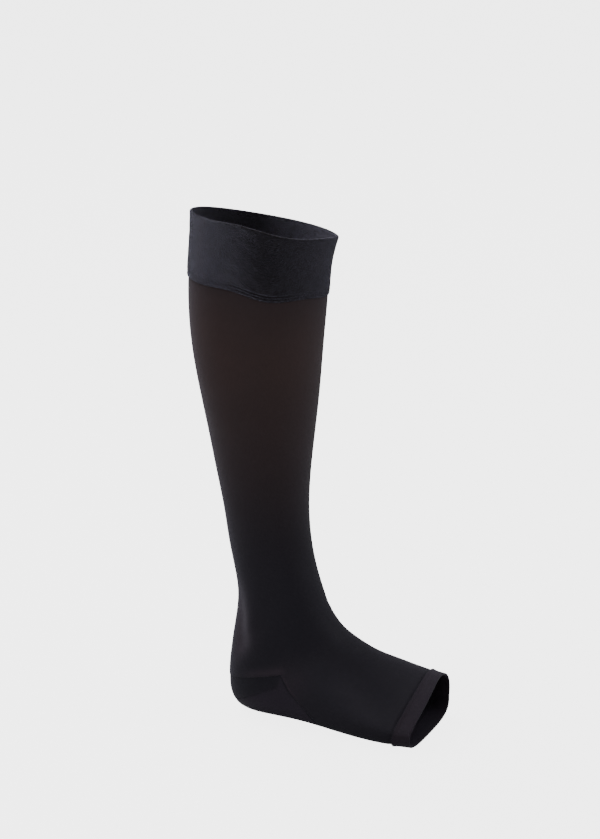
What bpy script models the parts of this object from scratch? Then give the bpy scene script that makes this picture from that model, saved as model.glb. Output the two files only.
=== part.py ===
"""A knee-length compression stocking with an open toe, shaped as it is when worn.

The garment is a hollow knitted tube in four pieces: the turned band at the knee, the tube for
leg and foot, the heel pocket knitted into it, and the turned band round the toe opening.
+X points to the toes, +Z up and -Y to the outer side of a right foot. The origin is the centre
of the rim, where the stocking takes the wearer's leg.
"""

import math

import bmesh
import bpy
import numpy as np

MM = 0.001  # every size below is in millimetres

RIM_HEIGHT = 428.0  # centre of the rim above the sole

KNIT_WALL = 1.2  # the compression knit of leg, foot and heel
BAND_WALL = 2.4  # the knee band is turned double
BAND_PROUD = 1.5  # how far it stands out from the leg
TOE_WALL = 1.8  # the toe band is turned double too
TOE_PROUD = 0.6
TOE_SEAM_RIDGE = 0.5  # the toe band's seam stands this much higher still
TOE_BAND_LENGTH = 14.0
SEAM_GAP = 0.3  # clearance between pieces where they are joined
EDGE_ROUND = 0.5  # rounding of the two turned edges

# One row for each section through the tube, from the rim down the leg, round the heel and along
# the foot. "front" and "back" are the points on the shin or instep and on the calf, heel or
# sole, as x and height above the sole. "width" is side to side. "waist" is where the widest
# line lies, from 0 at the back point to 1 at the front one. "front_n" and "back_n" are the
# exponents of the two half superellipses, where 2 is an ellipse and more is squarer. "lean"
# moves the instep's ridge to the inner side, "arch" lifts the inner side of the sole, and
# "skew" is how much further down the tube the inner side lies than the outer one.
SECTION_COLUMNS = (
    "front_x", "front_height", "back_x", "back_height", "width", "waist",
    "front_n", "back_n", "lean", "arch", "skew",
)
SECTIONS = {
    "rim":        (60, 420, -60, 436, 111, 0.50, 2.0, 2.1, 0, 0, 18),
    "band_mid":   (54, 396, -61, 409, 111, 0.50, 2.0, 2.1, 0, 0, 13),
    "band_seam":  (52, 371, -63, 384, 110, 0.50, 2.0, 2.1, 0, 0, 9),
    "calf":       (49, 335, -62, 340, 108, 0.48, 2.0, 2.1, 0, 0, 3),
    "calf_low":   (45, 284, -54, 287, 98, 0.48, 2.0, 2.1, 0, 0, 0),
    "shin":       (41, 246, -47, 247, 87, 0.50, 2.0, 2.0, 0, 0, 0),
    "shin_low":   (38, 215, -41, 215, 78, 0.50, 2.0, 2.0, 0, 0, 0),
    "ankle_top":  (37, 183, -35, 182, 69, 0.50, 2.0, 2.0, 0, 0, 0),
    "ankle":      (40, 152, -30, 148, 63, 0.50, 2.0, 2.0, 0, 0, 0),
    "ankle_low":  (46, 124, -23, 109, 64, 0.50, 2.1, 2.2, 0, 0, 0),
    "heel_top":   (52, 105, -26, 76, 67, 0.48, 2.2, 2.3, 1, 0, 0),
    "heel_back":  (58, 93, -30, 40, 68, 0.48, 2.2, 2.4, 2, 0, 0),
    "heel_turn":  (66, 82, -24, 8, 68, 0.46, 2.2, 2.4, 4, 0, 0),
    "heel_sole":  (78, 71, 9, 0, 69, 0.40, 2.2, 2.3, 8, 3, 0),
    "instep":     (94, 61, 45, 1, 75, 0.34, 2.1, 2.6, 12, 9, 0),
    "midfoot":    (110, 54, 81, 1, 87, 0.32, 2.0, 3.2, 16, 7, 0),
    "ball":       (129, 47, 117, 0, 95, 0.34, 1.9, 3.4, 20, 0, 0),
    "toe_edge":   (148, 43, 148, 0, 95, 0.36, 1.85, 3.2, 21, 0, 2),
}

# Angles round the tube are in degrees from the front, positive towards the inner side.
WAVE_COLUMNS = ("angle", "drop", "spread")
RIM_WAVES = ((-90, -2.0, 14), (-50, 0.8, 12), (-6, -2.2, 17), (120, 2.0, 35))
BAND_SEAM_WAVES = (
    (-92, -2.0, 14), (-62, 2.5, 14), (-25, -1.5, 13), (60, 1.5, 30), (170, 2.0, 30),
)
TOE_SEAM_WAVES = ((-42, 3.0, 26),)
TOE_EDGE_WAVES = ((-40, 5.0, 26),)

# The hollows between the ankle and the tendon behind it, and the round of the ankle before
# them, whose depth is negative. The inner ankle stands a little higher than the outer one.
HOLLOW_COLUMNS = ("station", "angle", "depth", "length", "spread")
OUTER_HOLLOWS = (
    (320, -140, 1.5, 11, 14),
    (338, -132, 2.9, 10, 14),
    (352, -122, 2.5, 7, 14),
    (325, -117, -0.3, 10, 8),
    (340, -108, -0.8, 8, 7),
    (352, -100, -1.0, 6, 7),
    (360, -92, -0.6, 6, 8),
)
INNER_RISE = 7.0
HOLLOWS = OUTER_HOLLOWS + tuple(
    (station - INNER_RISE, -angle, depth, length, spread)
    for station, angle, depth, length, spread in OUTER_HOLLOWS
)

# The heel pocket lies below one seam, which runs from the back to the apex, and behind another,
# which hooks down from the apex and runs on to the sole. Both are seen from the side, as x and
# height above the sole.
HEEL_APEX = (27, 47)
HEEL_SEAM_BACK = (-30, 33)
HEEL_SEAM_HOOK = (34, 34)
HEEL_SEAM_SOLE = (71, 0)

BACK_COLUMNS = 20  # columns of faces across the heel pocket
FRONT_COLUMNS = 20  # columns of faces over the shin and instep
LEG_SPACING = ((190, 14), (150, 7))  # length of tube, and rows of faces about this far apart
FOOT_ROWS = 13
HEEL_ROWS = 12
BAND_ROWS = 7
TOE_ROWS = 5

FINISHES = {
    "top_band": ((0.016, 0.015, 0.018), 0.85),
    "leg_foot": ((0.022, 0.018, 0.020), 0.62),
    "heel": ((0.014, 0.013, 0.017), 0.66),
    "toe_band": ((0.018, 0.016, 0.020), 0.66),
}


def smooth_curve(stations, values):
    """A natural cubic spline through the values."""
    count = len(stations)
    gaps = np.diff(stations)
    system = np.eye(count)
    target = np.zeros(count)
    for i in range(1, count - 1):
        system[i, i - 1 : i + 2] = gaps[i - 1], 2 * (gaps[i - 1] + gaps[i]), gaps[i]
        target[i] = 6 * (
            (values[i + 1] - values[i]) / gaps[i] - (values[i] - values[i - 1]) / gaps[i - 1]
        )
    bend = np.linalg.solve(system, target)

    def value_at(station):
        station = np.asarray(station, float)
        i = np.clip(np.searchsorted(stations, station) - 1, 0, count - 2)
        gap = gaps[i]
        after = station - stations[i]
        before = stations[i + 1] - station
        return (
            (bend[i] * before**3 + bend[i + 1] * after**3) / (6 * gap)
            + (values[i] / gap - bend[i] * gap / 6) * before
            + (values[i + 1] / gap - bend[i + 1] * gap / 6) * after
        )

    return value_at


def section_table():
    """The sections by column, and each section's station: its distance down the tube."""
    table = dict(zip(SECTION_COLUMNS, np.array(list(SECTIONS.values()), float).T))
    front = np.hypot(np.diff(table["front_x"]), np.diff(table["front_height"]))
    back = np.hypot(np.diff(table["back_x"]), np.diff(table["back_height"]))
    return table, np.concatenate([[0.0], np.cumsum((front + back) / 2)])


TABLE, STATIONS = section_table()
CURVES = {name: smooth_curve(STATIONS, TABLE[name]) for name in SECTION_COLUMNS}
STATION = dict(zip(SECTIONS, STATIONS))


def bell(distance, spread):
    return np.exp(-((distance / spread) ** 2) / 2)


def turn_between(angle, centre):
    """Degrees from one angle to another, the short way round."""
    return (np.degrees(angle) - centre + 180) % 360 - 180


def plain_point(station, angle):
    """A point on the tube's outer surface, before its hollows."""
    at = {name: curve(station) for name, curve in CURVES.items()}
    depth = np.hypot(at["front_x"] - at["back_x"], at["front_height"] - at["back_height"])
    forward = np.stack(
        [(at["front_x"] - at["back_x"]) / depth, (at["front_height"] - at["back_height"]) / depth], -1
    )
    ahead = np.cos(angle)
    across = np.sin(angle)
    exponent = np.where(ahead > 0, at["front_n"], at["back_n"])
    reach = depth * np.where(ahead > 0, 1 - at["waist"], at["waist"])
    out = np.sign(ahead) * np.abs(ahead) ** (2 / exponent) * reach
    side = np.sign(across) * np.abs(across) ** (2 / exponent)
    lift = at["arch"] * np.clip(side, 0, 1) ** 2 * np.sqrt(np.clip(-ahead, 0, 1))
    along = at["skew"] * side / 2
    centre = np.stack([at["back_x"], at["back_height"]], -1) + forward * (
        depth * at["waist"] + out + lift
    )[..., None]
    x = centre[..., 0] + forward[..., 1] * along
    height = centre[..., 1] - forward[..., 0] * along
    y = side * at["width"] / 2 + at["lean"] * np.clip(ahead, 0, 1) ** 1.5
    return np.stack([x, y, np.maximum(height, 0)], -1)


def surface_normal(station, angle):
    step, turn = 0.5, 0.01
    down = plain_point(station + step, angle) - plain_point(station - step, angle)
    around = plain_point(station, angle + turn) - plain_point(station, angle - turn)
    normal = np.cross(down, around)
    return normal / np.linalg.norm(normal, axis=-1, keepdims=True)


def surface_point(station, angle, proud=0.0):
    """A point on the garment, moved out from the knit's outer face."""
    station, angle, proud = np.broadcast_arrays(station, angle, proud)
    inward = np.zeros(station.shape)
    for row in HOLLOWS:
        hollow = dict(zip(HOLLOW_COLUMNS, row))
        inward = inward + hollow["depth"] * bell(
            station - hollow["station"], hollow["length"]
        ) * bell(turn_between(angle, hollow["angle"]), hollow["spread"])
    out = (proud - inward)[..., None]
    return plain_point(station, angle) + surface_normal(station, angle) * out


def wave_drop(waves, angle):
    drop = np.zeros(np.shape(angle))
    for row in waves:
        wave = dict(zip(WAVE_COLUMNS, row))
        drop = drop + wave["drop"] * bell(turn_between(angle, wave["angle"]), wave["spread"])
    return drop


def rim_station(angle):
    return STATION["rim"] + wave_drop(RIM_WAVES, angle)


def band_seam_station(angle):
    return STATION["band_seam"] + wave_drop(BAND_SEAM_WAVES, angle)


def toe_seam_station(angle):
    return STATION["toe_edge"] - TOE_BAND_LENGTH + wave_drop(TOE_SEAM_WAVES, angle)


def toe_edge_station(angle):
    return STATION["toe_edge"] + wave_drop(TOE_EDGE_WAVES, angle)


def distance_past(line_start, line_end, points):
    """How far each point lies to the left of a line in the side view."""
    along = np.array(line_end, float) - np.array(line_start, float)
    off = points[..., (0, 2)] - np.array(line_start, float)
    return (along[0] * off[..., 1] - along[1] * off[..., 0]) / np.hypot(*along)


def outside_pocket(station, angle):
    """Distance outside the heel pocket's seams, negative within them."""
    points = plain_point(station, angle)
    above = distance_past(HEEL_SEAM_BACK, HEEL_APEX, points)
    behind_sole_seam = distance_past(HEEL_SEAM_SOLE, HEEL_SEAM_HOOK, points)
    behind_hook = distance_past(HEEL_SEAM_HOOK, HEEL_APEX, points)
    return np.maximum(above, -np.maximum(behind_sole_seam, behind_hook))


def pocket_span(angle, margin):
    """The stations at which a column enters and leaves the pocket, taken in by a margin."""
    stations = np.arange(STATION["ankle_low"], STATION["midfoot"], 0.2)
    distance = outside_pocket(stations, np.full(stations.shape, angle)) + margin
    within = np.flatnonzero(distance < 0)
    if not len(within):
        lowest = stations[np.argmin(distance)]
        return lowest, lowest
    first, last = within[0], within[-1]

    def crossing(a, b):
        return stations[a] + (stations[b] - stations[a]) * distance[a] / (distance[a] - distance[b])

    return crossing(first - 1, first), crossing(last, last + 1)


def apex_angle(side, margin):
    """The angle of the column that only touches the pocket's corner, on the side of +1 or -1."""
    within, outside = math.pi, math.pi - side * math.radians(130)
    for _ in range(40):
        middle = (within + outside) / 2
        enter, leave = pocket_span(middle, margin)
        if leave > enter:
            within = middle
        else:
            outside = middle
    return within


def make_object(name, grids, wall, rounded=False):
    """One named object: its outer face from grids of points, made into a wall inwards."""
    mesh = bpy.data.meshes.new(name)
    shape = bmesh.new()
    for points, closed in grids:
        rows, columns = points.shape[:2]
        verts = [[shape.verts.new(point * MM) for point in row] for row in points]
        for i in range(rows - 1):
            for j in range(columns if closed else columns - 1):
                k = (j + 1) % columns
                shape.faces.new((verts[i][j], verts[i + 1][j], verts[i + 1][k], verts[i][k]))
    bmesh.ops.remove_doubles(shape, verts=shape.verts, dist=0.01 * MM)
    shape.to_mesh(mesh)
    shape.free()
    mesh.shade_smooth()

    obj = bpy.data.objects.new(name, mesh)
    bpy.context.collection.objects.link(obj)
    thickness = obj.modifiers.new("wall", "SOLIDIFY")
    thickness.thickness = wall * MM
    thickness.offset = -1.0
    thickness.use_rim = True
    if rounded:
        edge = obj.modifiers.new("edge", "BEVEL")
        edge.limit_method = "ANGLE"
        edge.angle_limit = math.radians(50)
        edge.width = EDGE_ROUND * MM
        edge.segments = 2
    mesh.materials.append(make_material(name))
    return obj


def make_material(name):
    color, roughness = FINISHES[name]
    material = bpy.data.materials.new(name)
    material.use_nodes = True
    shader = material.node_tree.nodes["Principled BSDF"]
    shader.inputs["Base Color"].default_value = (*color, 1.0)
    shader.inputs["Roughness"].default_value = roughness
    shader.inputs["Metallic"].default_value = 0.0
    shader.inputs["Sheen Weight"].default_value = 0.3
    return material


def to_frame(points):
    """From heights above the sole to heights from the rim's centre."""
    return points - np.array([0.0, 0.0, RIM_HEIGHT])


def column_angles():
    """Angles of the columns: the pocket's first, from inner to outer apex, then the front's."""
    inner = apex_angle(1, 0.0)
    outer = apex_angle(-1, 0.0)
    back = np.linspace(inner, outer, BACK_COLUMNS + 1)
    front = np.linspace(outer, inner + 2 * math.pi, FRONT_COLUMNS + 1)
    return back, front[1:-1]


def stretch(start, end, fractions):
    return start + (end - start) * fractions[:, None]


def leg_fractions():
    """Where the leg's rows of points lie, with closer rows towards the heel."""
    places = [0.0]
    for length, spacing in LEG_SPACING:
        rows = round(length / spacing)
        places += [places[-1] + length * (i + 1) / rows for i in range(rows)]
    return np.array(places) / places[-1]


def build_leg_foot():
    back, front = column_angles()
    angles = np.concatenate([back, front])
    spans = np.array([pocket_span(angle, 0.0) for angle in back])
    spans[0] = spans[0].mean()
    spans[-1] = spans[-1].mean()
    over_front = np.linspace(spans[-1, 0], spans[0, 0], FRONT_COLUMNS + 1)[1:-1]
    leg_end = np.concatenate([spans[:, 0], over_front])
    foot_start = np.concatenate([spans[:, 1], over_front])

    leg_start = band_seam_station(angles) + SEAM_GAP
    foot_end = toe_seam_station(angles) - SEAM_GAP
    leg = stretch(leg_start, leg_end, leg_fractions())
    foot = stretch(foot_start, foot_end, np.linspace(0, 1, FOOT_ROWS + 1))
    grids = [(to_frame(surface_point(stations, angles)), True) for stations in (leg, foot)]
    return make_object("leg_foot", grids, KNIT_WALL)


def build_heel():
    angles = np.linspace(apex_angle(1, SEAM_GAP), apex_angle(-1, SEAM_GAP), BACK_COLUMNS + 1)
    spans = np.array([pocket_span(angle, SEAM_GAP) for angle in angles])
    spans[0] = spans[0].mean()
    spans[-1] = spans[-1].mean()
    stations = stretch(spans[:, 0], spans[:, 1], np.linspace(0, 1, HEEL_ROWS + 1))
    return make_object("heel", [(to_frame(surface_point(stations, angles)), False)], KNIT_WALL)


def build_top_band():
    angles = np.radians(np.arange(0, 360, 360 / (BACK_COLUMNS + FRONT_COLUMNS)))
    fractions = np.linspace(0, 1, BAND_ROWS + 1)
    stations = stretch(rim_station(angles), band_seam_station(angles), fractions)
    points = surface_point(stations, angles, BAND_PROUD)
    return make_object("top_band", [(to_frame(points), True)], BAND_WALL, rounded=True)


def build_toe_band():
    angles = np.radians(np.arange(0, 360, 360 / (BACK_COLUMNS + FRONT_COLUMNS)))
    fractions = np.linspace(0, 1, TOE_ROWS + 1)
    start = toe_seam_station(angles)
    stations = stretch(start, toe_edge_station(angles), fractions)
    proud = TOE_PROUD + TOE_SEAM_RIDGE * bell(stations - start, TOE_BAND_LENGTH / 8)
    points = surface_point(stations, angles, proud)
    return make_object("toe_band", [(to_frame(points), True)], TOE_WALL, rounded=True)


def main():
    for obj in list(bpy.data.objects):
        bpy.data.objects.remove(obj, do_unlink=True)
    stocking = bpy.data.objects.new("stocking", None)
    bpy.context.collection.objects.link(stocking)
    for build in (build_top_band, build_leg_foot, build_heel, build_toe_band):
        build().parent = stocking


main()
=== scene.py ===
import math

import bmesh
import bpy
import numpy as np
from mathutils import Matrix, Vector


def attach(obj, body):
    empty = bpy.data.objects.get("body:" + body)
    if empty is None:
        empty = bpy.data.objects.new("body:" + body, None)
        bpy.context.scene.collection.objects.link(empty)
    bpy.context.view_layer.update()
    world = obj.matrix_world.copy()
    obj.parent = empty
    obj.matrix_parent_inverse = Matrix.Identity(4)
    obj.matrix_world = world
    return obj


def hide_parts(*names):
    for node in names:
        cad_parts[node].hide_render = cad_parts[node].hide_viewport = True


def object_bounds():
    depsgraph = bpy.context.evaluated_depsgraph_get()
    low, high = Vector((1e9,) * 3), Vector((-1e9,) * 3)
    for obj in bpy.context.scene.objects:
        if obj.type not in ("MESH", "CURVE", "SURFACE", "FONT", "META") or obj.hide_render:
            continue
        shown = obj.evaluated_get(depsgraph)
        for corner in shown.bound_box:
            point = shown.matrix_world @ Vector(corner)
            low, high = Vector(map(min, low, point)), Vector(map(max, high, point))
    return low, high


# The looks of a knee-length compression stocking with an open toe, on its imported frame.
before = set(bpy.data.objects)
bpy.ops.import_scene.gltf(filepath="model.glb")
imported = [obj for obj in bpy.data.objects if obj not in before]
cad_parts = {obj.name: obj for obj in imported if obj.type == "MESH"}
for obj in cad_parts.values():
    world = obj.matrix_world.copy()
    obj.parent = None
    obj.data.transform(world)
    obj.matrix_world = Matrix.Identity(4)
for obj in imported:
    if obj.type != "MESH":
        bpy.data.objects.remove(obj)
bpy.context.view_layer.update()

mm = 0.001  # the dictionaries below give millimetres, unless a note says metres

# One row for each section, from the rim down the leg, round the heel and along the foot.
tubeForm = {
    "rimHeight": 428,
    "columns": (
        "frontX", "frontHeight", "backX", "backHeight", "width", "waist",
        "frontPower", "backPower", "lean", "arch", "skew",
    ),
    "sections": {
        "rim": (60, 420, -60, 436, 111, 0.50, 2.0, 2.1, 0, 0, 18),
        "bandMiddle": (54, 396, -61, 409, 111, 0.50, 2.0, 2.1, 0, 0, 13),
        "bandSeam": (52, 371, -63, 384, 110, 0.50, 2.0, 2.1, 0, 0, 9),
        "calf": (49, 335, -62, 340, 108, 0.48, 2.0, 2.1, 0, 0, 3),
        "calfLow": (45, 284, -54, 287, 98, 0.48, 2.0, 2.1, 0, 0, 0),
        "shin": (41, 246, -47, 247, 87, 0.50, 2.0, 2.0, 0, 0, 0),
        "shinLow": (38, 215, -41, 215, 78, 0.50, 2.0, 2.0, 0, 0, 0),
        "ankleTop": (37, 183, -35, 182, 69, 0.50, 2.0, 2.0, 0, 0, 0),
        "ankle": (40, 152, -30, 148, 63, 0.50, 2.0, 2.0, 0, 0, 0),
        "ankleLow": (46, 124, -23, 109, 64, 0.50, 2.1, 2.2, 0, 0, 0),
        "heelTop": (52, 105, -26, 76, 67, 0.48, 2.2, 2.3, 1, 0, 0),
        "heelBack": (58, 93, -30, 40, 68, 0.48, 2.2, 2.4, 2, 0, 0),
        "heelTurn": (66, 82, -24, 8, 68, 0.46, 2.2, 2.4, 4, 0, 0),
        "heelSole": (78, 71, 9, 0, 69, 0.40, 2.2, 2.3, 8, 3, 0),
        "instep": (94, 61, 45, 1, 75, 0.34, 2.1, 2.6, 12, 9, 0),
        "midfoot": (110, 54, 81, 1, 87, 0.32, 2.0, 3.2, 16, 7, 0),
        "ball": (129, 47, 117, 0, 95, 0.34, 1.9, 3.4, 20, 0, 0),
        "toeEdge": (148, 43, 148, 0, 95, 0.36, 1.85, 3.2, 21, 0, 2),
    },
    "leanPower": 1.5,  # how late the lean sets in towards the front
    # the hollows between ankle and tendon, and the round of the ankle before them, on the outer
    # side, with the inner ankle a little higher: station, angle, depth, length, spread
    "hollows": (
        (320, -140, 1.5, 11, 14), (338, -132, 2.9, 10, 14), (352, -122, 2.5, 7, 14),
        (325, -117, -0.3, 10, 8), (340, -108, -0.8, 8, 7),
        (352, -100, -1.0, 6, 7), (360, -92, -0.6, 6, 8),
    ),
    "innerRise": 7,
    # waves of the four round edges: angle, drop, spread
    "rimWaves": ((-90, -2.0, 14), (-50, 0.8, 12), (-6, -2.2, 17), (120, 2.0, 35)),
    "bandSeamWaves": (
        (-92, -2.0, 14), (-62, 2.5, 14), (-25, -1.5, 13), (60, 1.5, 30), (170, 2.0, 30),
    ),
    "toeSeamWaves": ((-42, 3.0, 26),),
    "toeEdgeWaves": ((-40, 5.0, 26),),
    "toeBandLength": 14,
    # the heel pocket's seams seen from the side, as x and height
    "heelApex": (27, 47),
    "heelSeamBack": (-30, 33),
    "heelSeamHook": (34, 34),
    "heelSeamSole": (71, 0),
    "apexTurn": 130,  # the pocket's corners lie within this angle of the back
}

knitGauge = {
    "wales": 400,  # needles round the tube
    "courseHeight": 0.62,
    # the rings on which the wales are counted: from before the rim to past the toe edge
    "ringsBefore": 6, "ringsPast": 12, "ringStep": 4.0, "ringTurn": 2.0,
    # where the calf draws the knit open and it looks browner: station, spread, share
    "openings": ((92, 46, 0.9), (185, 48, 0.5)),
    "weld": 0.01,  # points nearer than this become one
}


def smoothCurve(stations, values):
    # natural cubic spline
    count = len(stations)
    gaps = np.diff(stations)
    system = np.eye(count)
    target = np.zeros(count)
    for i in range(1, count - 1):
        system[i, i - 1 : i + 2] = gaps[i - 1], 2 * (gaps[i - 1] + gaps[i]), gaps[i]
        target[i] = 6 * (
            (values[i + 1] - values[i]) / gaps[i] - (values[i] - values[i - 1]) / gaps[i - 1]
        )
    bend = np.linalg.solve(system, target)

    def valueAt(station):
        i = np.clip(np.searchsorted(stations, station) - 1, 0, count - 2)
        gap = gaps[i]
        after = station - stations[i]
        before = stations[i + 1] - station
        return (
            (bend[i] * before**3 + bend[i + 1] * after**3) / (6 * gap)
            + (values[i] / gap - bend[i] * gap / 6) * before
            + (values[i + 1] / gap - bend[i + 1] * gap / 6) * after
        )

    return valueAt


def readSections():
    table = dict(zip(tubeForm["columns"], np.array(list(tubeForm["sections"].values()), float).T))
    front = np.hypot(np.diff(table["frontX"]), np.diff(table["frontHeight"]))
    back = np.hypot(np.diff(table["backX"]), np.diff(table["backHeight"]))
    stations = np.concatenate([[0.0], np.cumsum((front + back) / 2)])
    curves = {name: smoothCurve(stations, table[name]) for name in tubeForm["columns"]}
    return curves, dict(zip(tubeForm["sections"], stations))


curves, stationOf = readSections()


def bell(distance, spread):
    return np.exp(-((distance / spread) ** 2) / 2)


def softStep(distance, softness):
    return 1 / (1 + np.exp(-distance / softness))


def turnBetween(angle, centre):
    # degrees from one angle to another, the short way round
    return (np.degrees(angle) - centre + 180) % 360 - 180


def plainPoint(station, angle):
    # a point of the outer face before its hollows, heights counted from the sole
    at = {name: curve(station) for name, curve in curves.items()}
    depth = np.hypot(at["frontX"] - at["backX"], at["frontHeight"] - at["backHeight"])
    forwardX = (at["frontX"] - at["backX"]) / depth
    forwardZ = (at["frontHeight"] - at["backHeight"]) / depth
    ahead = np.cos(angle)
    across = np.sin(angle)
    power = np.where(ahead > 0, at["frontPower"], at["backPower"])
    reach = depth * np.where(ahead > 0, 1 - at["waist"], at["waist"])
    out = np.sign(ahead) * np.abs(ahead) ** (2 / power) * reach
    side = np.sign(across) * np.abs(across) ** (2 / power)
    lift = at["arch"] * np.clip(side, 0, 1) ** 2 * np.sqrt(np.clip(-ahead, 0, 1))
    along = at["skew"] * side / 2
    forward = depth * at["waist"] + out + lift
    x = at["backX"] + forwardX * forward + forwardZ * along
    height = at["backHeight"] + forwardZ * forward - forwardX * along
    y = side * at["width"] / 2 + at["lean"] * np.clip(ahead, 0, 1) ** tubeForm["leanPower"]
    return np.stack([x, y, np.maximum(height, 0)], -1)


def surfaceNormal(station, angle):
    step, turn = 0.5, 0.01
    down = plainPoint(station + step, angle) - plainPoint(station - step, angle)
    around = plainPoint(station, angle + turn) - plainPoint(station, angle - turn)
    normal = np.cross(down, around)
    return normal / np.linalg.norm(normal, axis=-1, keepdims=True)


def hollowDepth(station, angle, withRounds=True):
    # how far the ankle's hollows lie inside the plain form, less than 0 where its rounds stand out
    inward = np.zeros(np.broadcast(station, angle).shape)
    for centre, turn, depth, length, spread in tubeForm["hollows"]:
        if depth < 0 and not withRounds:
            continue
        for place, bearing in ((centre, turn), (centre - tubeForm["innerRise"], -turn)):
            aside = turnBetween(angle, bearing)
            inward = inward + depth * bell(station - place, length) * bell(aside, spread)
    return inward


def surfacePoint(station, angle, proud=0.0):
    # a point in metres from the rim's centre, moved out from the knit's outer face
    station, angle, proud = np.broadcast_arrays(station, angle, proud)
    out = (proud - hollowDepth(station, angle))[..., None]
    points = plainPoint(station, angle) + surfaceNormal(station, angle) * out
    return (points - np.array([0.0, 0.0, tubeForm["rimHeight"]])) * mm


def waveDrop(waves, angle):
    drop = np.zeros(np.shape(angle))
    for centre, fall, spread in waves:
        drop = drop + fall * bell(turnBetween(angle, centre), spread)
    return drop


def rimStation(angle):
    return stationOf["rim"] + waveDrop(tubeForm["rimWaves"], angle)


def bandSeamStation(angle):
    return stationOf["bandSeam"] + waveDrop(tubeForm["bandSeamWaves"], angle)


def toeSeamStation(angle):
    length = tubeForm["toeBandLength"]
    return stationOf["toeEdge"] - length + waveDrop(tubeForm["toeSeamWaves"], angle)


def toeEdgeStation(angle):
    return stationOf["toeEdge"] + waveDrop(tubeForm["toeEdgeWaves"], angle)


def distancePast(lineStart, lineEnd, points):
    # how far each point lies to the left of a line in the side view
    along = np.array(lineEnd, float) - np.array(lineStart, float)
    off = points[..., (0, 2)] - np.array(lineStart, float)
    return (along[0] * off[..., 1] - along[1] * off[..., 0]) / np.hypot(*along)


def outsidePocket(station, angle):
    points = plainPoint(station, angle)
    above = distancePast(tubeForm["heelSeamBack"], tubeForm["heelApex"], points)
    behindSoleSeam = distancePast(tubeForm["heelSeamSole"], tubeForm["heelSeamHook"], points)
    behindHook = distancePast(tubeForm["heelSeamHook"], tubeForm["heelApex"], points)
    return np.maximum(above, -np.maximum(behindSoleSeam, behindHook))


def pocketSpan(angle, margin):
    # the stations at which a column of the knit enters and leaves the heel pocket
    step = 0.2
    stations = np.arange(stationOf["ankleLow"], stationOf["midfoot"], step)
    distance = outsidePocket(stations, np.full(stations.shape, angle)) + margin
    within = np.flatnonzero(distance < 0)
    if not len(within):
        lowest = stations[np.argmin(distance)]
        return lowest, lowest
    first, last = within[0], within[-1]

    def crossing(a, b):
        return stations[a] + (stations[b] - stations[a]) * distance[a] / (distance[a] - distance[b])

    return crossing(first - 1, first), crossing(last, last + 1)


def apexAngle(side, margin):
    # the column that only touches the pocket's corner, on the inner side (1) or outer side (-1)
    within, outside = math.pi, math.pi - side * math.radians(tubeForm["apexTurn"])
    halvings = 40
    for _ in range(halvings):
        middle = (within + outside) / 2
        enter, leave = pocketSpan(middle, margin)
        if leave > enter:
            within = middle
        else:
            outside = middle
    return within


def makeWaleTable():
    # share of the girth passed at each angle, so that the wales stand evenly round the tube
    last = stationOf["toeEdge"] + knitGauge["ringsPast"]
    stations = np.arange(-knitGauge["ringsBefore"], last, knitGauge["ringStep"])
    angles = np.radians(np.arange(0, 361, knitGauge["ringTurn"]))
    grid = plainPoint(*np.meshgrid(stations, angles, indexing="ij"))
    steps = np.linalg.norm(np.diff(grid, axis=1), axis=-1)
    passed = np.concatenate([np.zeros((len(stations), 1)), np.cumsum(steps, axis=1)], axis=1)
    return stations, angles, passed / passed[:, -1:], passed[:, -1]


waleStations, waleAngles, waleShares, waleGirths = makeWaleTable()


def girthAt(station):
    # of the nearest ring
    return waleGirths[round((station - waleStations[0]) / knitGauge["ringStep"])]


def waleNumber(station, angle):
    # counted from the front, and running on past a full turn
    justInside = 1.001  # keeps the last ring and column inside the table
    turns = np.floor(angle / (2 * math.pi))
    rest = angle - turns * 2 * math.pi
    row = (station - waleStations[0]) / (waleStations[1] - waleStations[0])
    row = np.clip(row, 0, len(waleStations) - justInside)
    column = np.clip(rest / (waleAngles[1] - waleAngles[0]), 0, len(waleAngles) - justInside)
    i, j = row.astype(int), column.astype(int)
    a, b = row - i, column - j
    share = (
        (1 - a) * ((1 - b) * waleShares[i, j] + b * waleShares[i, j + 1])
        + a * ((1 - b) * waleShares[i + 1, j] + b * waleShares[i + 1, j + 1])
    )
    return (turns + share) * knitGauge["wales"]


# where the knit is drawn thin and looks paler, by distance from the heel's seams and apex, and
# where painted highlights lie: along the forward seam's hook and in the hollows beside the tendon
paleKnitAndHighlights = {
    "from": 290,  # the station where it can begin
    # a strip above the upper seam, faded out at the back and past the apex
    "strip": 0.75, "stripAbove": 3.2, "stripWidth": 2.6,
    "stripBack": -4, "stripBackFade": 3, "stripPast": 2, "stripPastFade": 1.2,
    # a round patch in front of the apex
    "corner": 0.5, "cornerAhead": 9, "cornerBelow": 6, "cornerWidth": 11,
    # a painted highlight: a thin light line along the hook of the forward seam
    "hookHighlight": 0.5, "hookOff": 1.3, "hookWidth": 0.5,
    "hookAhead": 1, "hookFade": 0.6, "hookBelow": 10, "hookLength": 8,
    # a painted highlight in the hollows beside the tendon, full at this depth
    "hollow": 0.8, "hollowFull": 2.5,
}


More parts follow.
